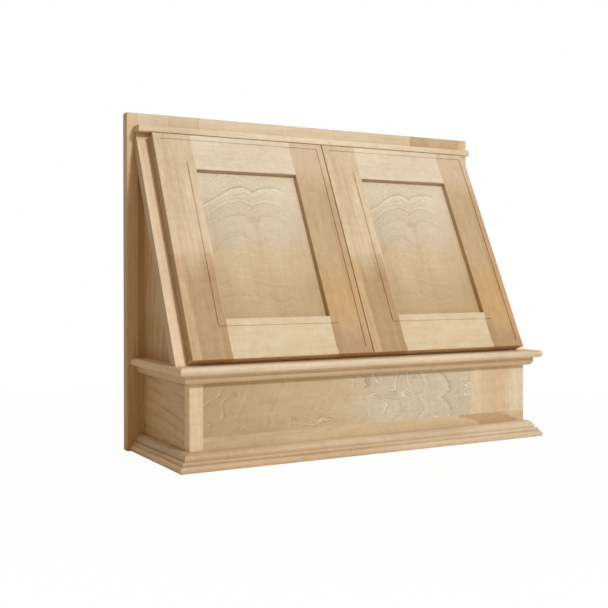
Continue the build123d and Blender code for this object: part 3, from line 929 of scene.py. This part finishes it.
doorTopRailLook = {
    "grain": "x",
    "leaning": True,
    "seed": 36.0,
    "colour": (215, 199, 175),
    "streak": 0.04,
    "ring": 0.04,
    "zones": [(0.985, 1.0, -1.0, 2.0, 0.008, (150, 124, 90), 0.7)],   # painted shade on the lower edge, which faces down
    "strokes": [(0.55, 0.22, 0.36, 0.52, 0.0016, -0.09), (0.78, 0.30, 0.66, 0.75, 0.0012, -0.06),
                (0.30, 0.10, 0.24, 0.40, 0.0012, -0.05)],
}
doorBottomRailLook = {
    "grain": "x",
    "leaning": True,
    "patches": [railFootPaintedLight],
    "seed": 34.0,
    "cloud": 0.06,
    "streak": 0.04,
    "ring": 0.04,
    "colour": (208, 191, 161),
    "blotch": ((206, 180, 138), 0.6, 26),
    "strokes": [(0.40, 0.15, 0.33, 0.50, 0.0014, -0.07)],
}
doorPanelLook = {
    "leaning": True,
    "seed": 38.0,
    "line": 0.03,
    "streak": 0.02,
    "mottle": 0.06,
    "ring": 0.0,
    "fleck": 0.05,
    "colour": (195, 173, 138),
    "zones": [
        (0.0, 1.0, -1.0, 0.30, 0.14, (182, 158, 119), 1.0),
        (0.0, 1.0, 0.52, 2.0, 0.10, (201, 184, 160), 1.0),
        (0.0, 1.0, 0.82, 2.0, 0.10, (206, 192, 170), 1.0),
    ],
}

panelFigure = {"swirl": 1.5, "bold": 0.7, "crisp": 0.75}

# the planes where stiles and rails are glued up flush
westJoint = {"left": ("left_door_outer_stile", 0, 1), "right": ("right_door_inner_stile", 0, 1)}
eastJoint = {"left": ("left_door_inner_stile", 0, 0), "right": ("right_door_outer_stile", 0, 0)}
for side, westMember, eastMember in (("left", "outer", "inner"), ("right", "inner", "outer")):
    joints = [westJoint[side], eastJoint[side]]
    dress("%s_door_%s_stile" % (side, westMember), {**doorWestStileLook, "flush": joints[:1]})
    dress("%s_door_%s_stile" % (side, eastMember), {**doorEastStileLook, "flush": joints[1:]})
    dress(side + "_door_top_rail", {**doorTopRailLook, "flush": joints})
    dress(side + "_door_bottom_rail", {**doorBottomRailLook, "flush": joints})
    dress(side + "_door_panel", doorPanelLook, veneerFigure(panelPlace, **panelFigure))
print("doors dressed")

# hinges, screws and pads
metalLooks = {
    "nickel": {"colour": (186, 184, 178), "rough": 0.30, "wear": 0.10,
               "brushed": (900, (1, 0.05, 1), 3, 0.6)},
    "zinc": {"colour": (176, 175, 170), "rough": 0.38, "wear": 0.16,
             "brushed": (500, (1, 1, 1), 3, 0.6)},
    "bright": {"colour": (168, 168, 168), "rough": 0.24, "wear": 0.06,
               "brushed": (1400, (1, 1, 0.1), 3, 0.6)},
}
metalTouch = {
    "worn": (90, (1, 1, 1), 4, 0.6),
    "brushTone": 0.05,
    "wornRough": 0.12,
    "brushRough": 0.06,
    "relief": (0.25, 0.0001),
}
padLook = {
    "colour": (214, 214, 208),
    "rough": 0.42,
    "grain": (700, (1, 1, 1), 3, 0.6),
    "grainTone": 0.05,
    "grainRough": 0.1,
    "relief": (0.3, 0.0001),
}
metalPieces = {"cup": "nickel", "arm": "nickel", "link": "nickel", "pins": "bright", "screws": "zinc"}


def tonedPaint(material, colour, tone):
    base = vectorCalc(material, "SCALE", paint(*colour)[:3])
    feed(material, base.node.inputs["Scale"], tone)
    return base


def metalFinish(name):
    look = metalLooks[name]
    material = newMaterial(name + "Metal")
    coords = addNode(material, "TexCoord").outputs["Object"]
    brushed = noise(material, coords, *look["brushed"])
    worn = noise(material, coords, *metalTouch["worn"])
    tone = total(material, swing(material, brushed, metalTouch["brushTone"]),
                 swing(material, worn, look["wear"]), 1.0)
    rough = total(material, look["rough"], swing(material, worn, metalTouch["wornRough"]),
                  swing(material, brushed, metalTouch["brushRough"]))
    surface(material, tonedPaint(material, look["colour"], tone), rough,
            relief(material, brushed, *metalTouch["relief"]), 1.0)
    return material


def padFinish():
    material = newMaterial("clearPad")
    coords = addNode(material, "TexCoord").outputs["Object"]
    grain = noise(material, coords, *padLook["grain"])
    tone = calc(material, "ADD", swing(material, grain, padLook["grainTone"]), 1.0)
    rough = calc(material, "ADD", swing(material, grain, padLook["grainRough"]), padLook["rough"])
    surface(material, tonedPaint(material, padLook["colour"], tone), rough,
            relief(material, grain, *padLook["relief"]), 0.0)
    return material


finishes = {name: metalFinish(name) for name in metalLooks}
finishes["pad"] = padFinish()
for node, solid in frame["nodes"].items():
    ending = node.split("_")[-1]
    finish = "pad" if ending == "bumpers" else metalPieces.get(ending)
    if finish:
        solid.material_slots[0].material = finishes[finish]
print("hinges, screws and pads dressed")

# plain pale floor and soft studio light
studio = {
    "floorSize": 14.0,
    "floorDrop": 0.0005,
    "floorColour": (250, 249, 247),
    "floorWhite": 0.96,           # how white the floor is seen to be beside the hood
    "whiteFrom": 0.45,            # and from where to where it turns fully white
    "whiteTo": 1.1,
    "world": 0.37,
    "worldTint": (1.0, 0.85, 0.62, 1.0),
    "keyPlace": (0.462, -2.906, 2.26),
    "keySize": 0.6,
    "keyPower": 68.0,
    "keyTint": (0.985, 1.0, 1.03),
    "cardPlace": (0.25, -2.3, 0.10),
    "cardSize": 1.1,
    "cardPower": 3.2,
    "cardTint": (1.0, 0.90, 0.76),
    "rearPlace": (0.35, 2.6, 1.0),
    "rearSize": 1.0,
    "rearPower": 17.0,
    "rearTint": (1.0, 0.98, 0.95),
    "target": (0.0, -0.15, 0.3),
}


def aimedLamp(name, place, size, power, tint):
    data = bpy.data.lights.new(name, "AREA")
    data.shape = "DISK"
    data.size = size
    data.energy = power
    data.color = tint
    lamp = bpy.data.objects.new(name, data)
    lamp.location = place
    lamp.rotation_euler = (Vector(studio["target"]) - Vector(place)).to_track_quat("-Z", "Y").to_euler()
    bpy.context.scene.collection.objects.link(lamp)


def whiteWorld():
    world = bpy.data.worlds.new("paleRoom")
    bpy.context.scene.world = world
    world.use_nodes = True
    world.node_tree.nodes.clear()
    background = addNode(world, "Background")
    path = addNode(world, "LightPath")
    seen = calc(world, "MAXIMUM", path.outputs["Is Camera Ray"], path.outputs["Is Glossy Ray"])
    seen = calc(world, "MAXIMUM", seen, path.outputs["Is Transmission Ray"])
    strength = calc(world, "MULTIPLY_ADD", seen, 1 - studio["world"], studio["world"])
    feed(world, background.inputs[0], mix(world, "MIX", seen, studio["worldTint"], (1, 1, 1, 1)))
    feed(world, background.inputs[1], strength)
    output = addNode(world, "OutputWorld")
    feed(world, output.inputs[0], background.outputs[0])


def paleFloor():
    shape = bmesh.new()
    bmesh.ops.create_grid(shape, x_segments=1, y_segments=1, size=studio["floorSize"] / 2)
    mesh = bpy.data.meshes.new("floor")
    shape.to_mesh(mesh)
    shape.free()
    floor = bpy.data.objects.new("floor", mesh)
    floor.location = (0, 0, -studio["floorDrop"])
    bpy.context.scene.collection.objects.link(floor)
    material = newMaterial("paleFloor")
    diffuse = addNode(material, "BsdfDiffuse")
    diffuse.inputs[0].default_value = paint(*studio["floorColour"])
    glow = addNode(material, "Emission")
    glow.inputs[0].default_value = (1, 1, 1, 1)
    coords = addNode(material, "TexCoord")
    reach = addNode(material, "VectorMath", operation="LENGTH")
    feed(material, reach.inputs[0], coords.outputs["Object"])
    share = band(material, reach.outputs["Value"], studio["whiteFrom"], studio["whiteTo"],
                 studio["floorWhite"], 1.0)
    path = addNode(material, "LightPath")
    share = calc(material, "MULTIPLY", path.outputs["Is Camera Ray"], share)
    mixed = addNode(material, "MixShader")
    feed(material, mixed.inputs[0], share)
    feed(material, mixed.inputs[1], diffuse.outputs[0])
    feed(material, mixed.inputs[2], glow.outputs[0])
    output = addNode(material, "OutputMaterial")
    feed(material, output.inputs[0], mixed.outputs[0])
    mesh.materials.append(material)


aimedLamp("keyLamp", studio["keyPlace"], studio["keySize"], studio["keyPower"], studio["keyTint"])
aimedLamp("rearLamp", studio["rearPlace"], studio["rearSize"], studio["rearPower"], studio["rearTint"])
aimedLamp("cardLamp", studio["cardPlace"], studio["cardSize"], studio["cardPower"], studio["cardTint"])
whiteWorld()
paleFloor()
bpy.context.scene.view_settings.view_transform = "Standard"
print("studio lit")
